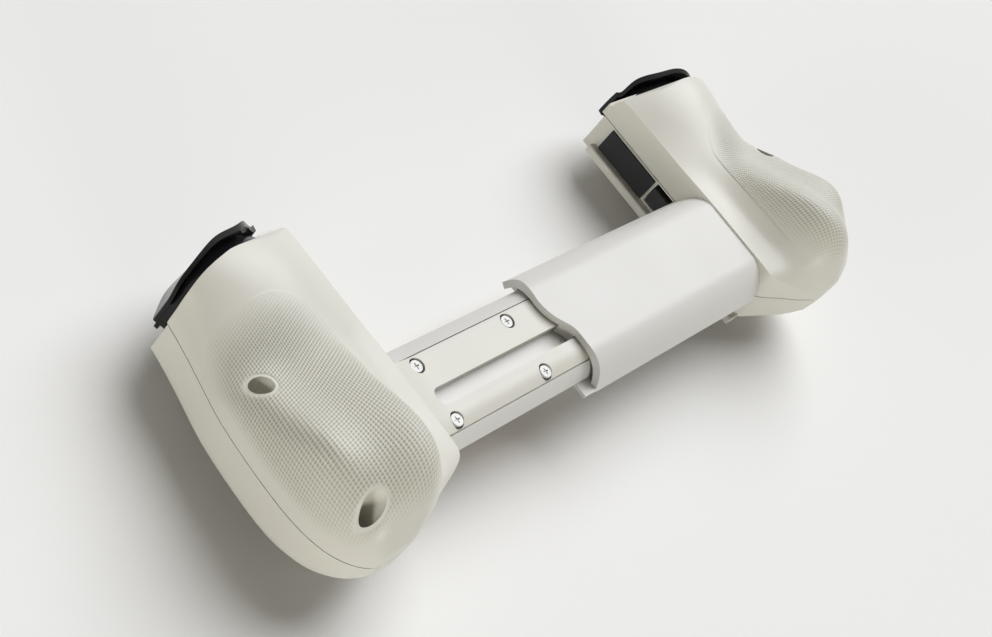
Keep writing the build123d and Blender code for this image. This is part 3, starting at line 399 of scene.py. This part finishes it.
def mesh_object(name, points, faces, attributes=None):
    """A smooth-shaded object at the origin from points and faces, without loose points."""
    used, faces = np.unique(faces, return_inverse=True)
    faces = faces.reshape(-1, 3)
    points = points.reshape(-1, 3)[used]
    mesh = bpy.data.meshes.new(name)
    mesh.from_pydata(points.tolist(), [], faces.tolist())
    mesh.polygons.foreach_set("use_smooth", np.ones(len(faces), dtype=bool))
    for label, values in (attributes or {}).items():
        layer = mesh.attributes.new(label, "FLOAT", "POINT")
        layer.data.foreach_set("value", values.reshape(-1)[used].astype(np.float32))
    mesh.update()
    made = bpy.data.objects.new(name, mesh)
    bpy.context.scene.collection.objects.link(made)
    return made


def carried_onto(points, node):
    """The grid of points, each carried inwards along its normal until it meets the node."""
    shape = points.shape[:2]
    everywhere = np.ones(shape, dtype=bool)
    drum = mesh_object("drum", points, grid_faces(shape, np.zeros(shape), everywhere))
    wrap = drum.modifiers.new("onto", "SHRINKWRAP")
    wrap.target = node
    wrap.wrap_method = "PROJECT"
    wrap.use_positive_direction = False
    wrap.use_negative_direction = True
    solid = drum.evaluated_get(bpy.context.evaluated_depsgraph_get())
    found = np.empty(points.size, dtype=np.float32)
    solid.data.vertices.foreach_get("co", found)
    mesh = drum.data
    bpy.data.objects.remove(drum)
    bpy.data.meshes.remove(mesh)
    return found.reshape(points.shape).astype(float)


def step(value, low, high):
    """Nought below low, one above high and a smooth rise between them."""
    t = np.clip((value - low) / (high - low), 0, 1)
    return t * t * (3 - 2 * t)


def palm_diamonds(unit, side):
    """The diamond net of one palm.

    A drum about an axis along the slot, under the palm's crest, is ruled by a skewed grid:
    one family of lines runs along the slot and the other leans across it. The drum is
    carried onto the rear shell, its radius is smoothed over the shell's small facets, and
    each cell of four by four steps sinks to a point, by the lower of two triangle waves.
    The cells fade out round the palm's middle, above the parting line and round the
    screw recesses, where the sheet dips under the shell.
    """
    f = finish()
    steps = 4
    axis_u, axis_z, drum_radius = 24 * MM, PARTING, 60 * MM
    usual_radius = 24 * MM
    lean = 0.34
    turn = f.cell_across * np.cos(np.arcsin(lean)) / steps / usual_radius
    i = np.arange(round(np.radians(128) / turn))
    j = np.arange(round(86 * MM / (f.cell_along / steps)))
    angle = np.radians(-30) + turn * i[:, None] + 0.0 * j
    y = -42 * MM + j * f.cell_along / steps - i[:, None] * f.cell_across * lean / steps
    middle_u, middle_y = 28.5 * MM, -11.5 * MM
    inner_half, outer_half, long_half = 18.5 * MM, 27 * MM, 35 * MM
    recess_radius, recess_fade = 3.1 * MM, 4.2 * MM
    side_low, side_high = 7 * MM, 13 * MM
    tip_low, tip_high = -44.0 * MM, -39.0 * MM
    sheet_lift, edge_dip = 0.05 * MM, 0.25 * MM
    inner = side * (SLOT_WALL + axis_u)
    way = np.stack((side * np.sin(angle), 0 * angle, np.cos(angle)), -1)
    axis = np.stack((inner + 0 * y, y, axis_z + 0 * y), -1)
    points = axis + drum_radius * way
    if side < 0:
        points, y, way, axis = points[::-1], y[::-1], way[::-1], axis[::-1]
    found = carried_onto(points, NODES[f"{unit}_rear_shell"])
    radius = np.linalg.norm(found - axis, axis=-1)

    u = np.abs(found[..., 0]) - SLOT_WALL
    hole = np.full(u.shape, 1.0)
    for place in SCREW_RECESSES:
        hole = np.minimum(hole, np.hypot(u - place[0], y - place[1]))
    sound = (hole > recess_radius + 0.2 * MM) & (radius < 0.9 * drum_radius)
    radius = softened(radius, sound, 3)
    base = axis + radius[..., None] * way
    u = np.abs(base[..., 0]) - SLOT_WALL

    across = (u - middle_u) / np.where(u < middle_u, inner_half, outer_half)
    along = (y - middle_y) / long_half
    reach = np.abs(across) ** 2.4 + np.abs(along) ** 2.4
    mask = step(1 - reach, 0.0, 0.7)
    mask = mask * step(base[..., 2] - PARTING, side_low, side_high)
    mask = mask * step(hole, recess_radius, recess_fade) * step(y, tip_low, tip_high)

    if side < 0:
        i = i[::-1]
    phases = (i[:, None] % steps / steps + 0.0 * j, j % steps / steps + 0.0 * i[:, None])
    waves = [1 - np.abs(2 * phase - 1) for phase in phases]
    height = 1 - np.minimum(*waves)
    lift = sheet_lift + f.diamond_height * height * mask - edge_dip * step(0.12 - mask, 0, 0.12)
    faces = grid_faces(u.shape, height, (mask > 0.001) & (hole > recess_radius))
    # Painted shade: a weight that is high in the sunk middle of each cell, to darken the pits in the
    # material.
    pit_shade = step(1 - height, 0.1, 0.7) * mask
    made = mesh_object(f"{unit}_palm_diamonds", base + lift[..., None] * way, faces, {"PitShade": pit_shade})
    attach(made, f"{unit}_unit")
    return made


def flat_rings(name, spots, inner, outer, height):
    """Flat rings round the spots: radius runs from inner to outer while the angle goes once
    round, at one height."""
    turns = np.linspace(0, 2 * np.pi, 49)
    rings = []
    faces = []
    for number, (x, y) in enumerate(spots):
        radius = np.array([inner, outer])[:, None]
        across, along = x + radius * np.cos(turns), y + radius * np.sin(turns)
        rings.append(np.stack((across, along, np.full(across.shape, height)), -1))
        flat = grid_faces(across.shape, 0 * across, np.ones(across.shape, dtype=bool))
        faces.append(flat + number * across.size)
    return mesh_object(name, np.concatenate(rings), np.concatenate(faces))


# Operators
class DressShells(bpy.types.Operator):
    """Gives the palm and face shells their cream moulding."""

    bl_idname = "controller.dress_shells"
    bl_label = "Dress the shells"

    def execute(self, context):
        dress(["left_rear_shell", "right_rear_shell"], cream_shell("Palm cream", finish().cream))
        dress(["left_front_shell", "right_front_shell"], cream_shell("Face cream", finish().cream))
        return {"FINISHED"}


class AddPalmDiamonds(bpy.types.Operator):
    """Lays the net of diamonds on both palms, with painted shade darkening their pits."""

    bl_idname = "controller.add_palm_diamonds"
    bl_label = "Add the palm diamonds"

    def execute(self, context):
        pit_shaded = cream_shell("Diamond cream with pit shade", finish().cream, True)
        for unit, side in (("left", 1), ("right", -1)):
            made = palm_diamonds(unit, side)
            made.data.materials.append(pit_shaded)
        return {"FINISHED"}


class DressBridge(bpy.types.Operator):
    """Gives the sleeve, its floor, the rail and the screws their finishes, and lays dark rings of
    painted shade round the screw heads.
    """

    bl_idname = "controller.dress_bridge"
    bl_label = "Dress the bridge"

    def execute(self, context):
        cream = cream_shell("Bridge cream", finish().bridge_cream)
        dress(["bridge_sleeve", "bridge_floor", "rail_tray"], cream)
        dress(["rail_screws"], pale_screw())
        low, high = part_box("rail_screws")
        # Painted shade: dark flat rings lie in the gaps round the four screw heads, where there is only
        # shadow.
        x_span = (low.x + RAIL_HEAD, high.x - RAIL_HEAD)
        y_span = (low.y + RAIL_HEAD, high.y - RAIL_HEAD)
        spots = [(x, y) for x in x_span for y in y_span]
        seat = high.z - RAIL_HEAD_HEIGHT + SHADE_RING_LIFT
        rings = flat_rings("rail_screw_gap_shade", spots, RAIL_HEAD - SHADE_RING_OVERLAP, SHADE_RING_RADIUS, seat)
        rings.data.materials.append(soft_black("Screw gap shade", finish().rubber_and_gap_shade_black, 0.5, 0.65))
        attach(rings, "right_unit")
        dress(["bridge_ribbon"], amber_film())
        return {"FINISHED"}


class DressTriggers(bpy.types.Operator):
    """Gives the triggers and bumpers their polished black."""

    bl_idname = "controller.dress_triggers"
    bl_label = "Dress the triggers"

    def execute(self, context):
        dress(["left_trigger", "right_trigger", "left_bumper", "right_bumper"], gloss_black())
        return {"FINISHED"}


class DressControls(bpy.types.Operator):
    """Gives sticks, D-pad, buttons and pads their dark finishes."""

    bl_idname = "controller.dress_controls"
    bl_label = "Dress the controls"

    def execute(self, context):
        f = finish()
        keys = [n for n in NODES if "_button" in n or n == "dpad"]
        dress(keys, soft_black("Key grey", f.key_grey, 0.3, 0.42))
        rubber = [n for n in NODES if n.endswith("_phone_pad") or n.endswith("_cap")]
        dress(rubber, soft_black("Rubber", f.rubber_and_gap_shade_black, 0.55, 0.7))
        return {"FINISHED"}


class DressInside(bpy.types.Operator):
    """Gives the inner pieces their finishes: boards, membranes, gimbals and metal."""

    bl_idname = "controller.dress_inside"
    bl_label = "Dress the inner pieces"

    def execute(self, context):
        dress([n for n in NODES if n.endswith("_board")], board_green())
        dress([n for n in NODES if n.endswith("membrane")], milky_silicone())
        gimbal = [n for n in NODES if n.endswith(("_module", "_carrier", "_yoke", "_shaft", "_pivot"))]
        dress(gimbal, soft_black("Gimbal black", (0.03, 0.03, 0.032), 0.4, 0.55))
        metal = [n for n in NODES if n.endswith(("_pin", "_spring", "shell_screws", "_plug", "_post"))]
        dress(metal, bare_metal())
        return {"FINISHED"}


class BuildStage(bpy.types.Operator):
    """A pale floor, the room's light, a soft key light, two low fills and the camera."""

    bl_idname = "controller.build_stage"
    bl_label = "Build the stage"

    def execute(self, context):
        f = finish()
        scene = context.scene
        scene.view_settings.view_transform = "Standard"
        mesh = bpy.data.meshes.new("floor")
        far = FLOOR_HALF
        spots = [(-far, -far, 0), (far, -far, 0), (far, far, 0), (-far, far, 0)]
        mesh.from_pydata(spots, [], [(0, 1, 2, 3)])
        floor = bpy.data.objects.new("floor", mesh)
        scene.collection.objects.link(floor)
        made, w, shader, place = plain_material("Floor", 0.9)
        tone = w.noise(place, 2.0)
        dim, bright = (0.86, 0.853, 0.825, 1.0), (0.88, 0.873, 0.845, 1.0)
        w.feed(shader.inputs["Base Color"], w.mix(tone, dim, bright))
        mesh.materials.append(made)

        world = bpy.data.worlds.new("Soft room")
        scene.world = world
        world.use_nodes = True
        w = Wiring(world.node_tree)
        light = w.node("ShaderNodeLightPath").outputs
        direct = w.math("MAXIMUM", light["Is Camera Ray"], light["Is Glossy Ray"])
        direct = w.math("MAXIMUM", direct, light["Is Transmission Ray"])
        back = world.node_tree.nodes["Background"]
        room = tuple(f.room_strength * c for c in f.room_colour) + (1.0,)
        w.feed(back.inputs["Color"], w.mix(direct, room, (*f.backdrop, 1.0)))
        back.inputs["Strength"].default_value = 1.0

        for name, energy, angle, colour, way in SUNS:
            data = bpy.data.lights.new(name, "SUN")
            data.energy = energy
            data.angle = angle
            data.color = colour
            made = bpy.data.objects.new(name, data)
            scene.collection.objects.link(made)
            made.rotation_euler = Vector(way).to_track_quat("Z", "Y").to_euler()

        data = bpy.data.cameras.new("camera")
        data.lens = LENS
        data.sensor_width = SENSOR_WIDTH
        data.clip_start = CLIP_START
        made = bpy.data.objects.new("camera", data)
        scene.collection.objects.link(made)
        right = Vector(CAMERA_RIGHT).normalized()
        back_way = Vector(CAMERA_BACK).normalized()
        up = back_way.cross(right).normalized()
        right = up.cross(back_way).normalized()
        turn = Matrix((right, up, back_way)).transposed().to_4x4()
        made.matrix_world = Matrix.Translation(CAMERA_PLACE) @ turn
        scene.camera = made
        return {"FINISHED"}


PIECES = (
    DressShells, AddPalmDiamonds, DressBridge, DressTriggers, DressControls, DressInside, BuildStage,
)


class ControllerPanel(bpy.types.Panel):
    """Lists the pieces and the finish settings."""

    bl_idname = "VIEW3D_PT_controller"
    bl_label = "Phone controller"
    bl_space_type = "VIEW_3D"
    bl_region_type = "UI"
    bl_category = "Controller"

    def draw(self, context):
        for name in ControllerFinish.__annotations__:
            self.layout.prop(context.scene.controller_finish, name)
        for piece in PIECES:
            self.layout.operator(piece.bl_idname)


def register():
    for made in (ControllerFinish, *PIECES, ControllerPanel):
        bpy.utils.register_class(made)
    bpy.types.Scene.controller_finish = PointerProperty(type=ControllerFinish)


def unregister():
    del bpy.types.Scene.controller_finish
    for made in (ControllerPanel, *reversed(PIECES), ControllerFinish):
        bpy.utils.unregister_class(made)


def main():
    register()
    bpy.ops.controller.dress_shells()
    bpy.ops.controller.add_palm_diamonds()
    bpy.ops.controller.dress_bridge()
    bpy.ops.controller.dress_triggers()
    bpy.ops.controller.dress_controls()
    bpy.ops.controller.dress_inside()
    bpy.ops.controller.build_stage()
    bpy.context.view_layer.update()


if __name__ == "__main__":
    main()
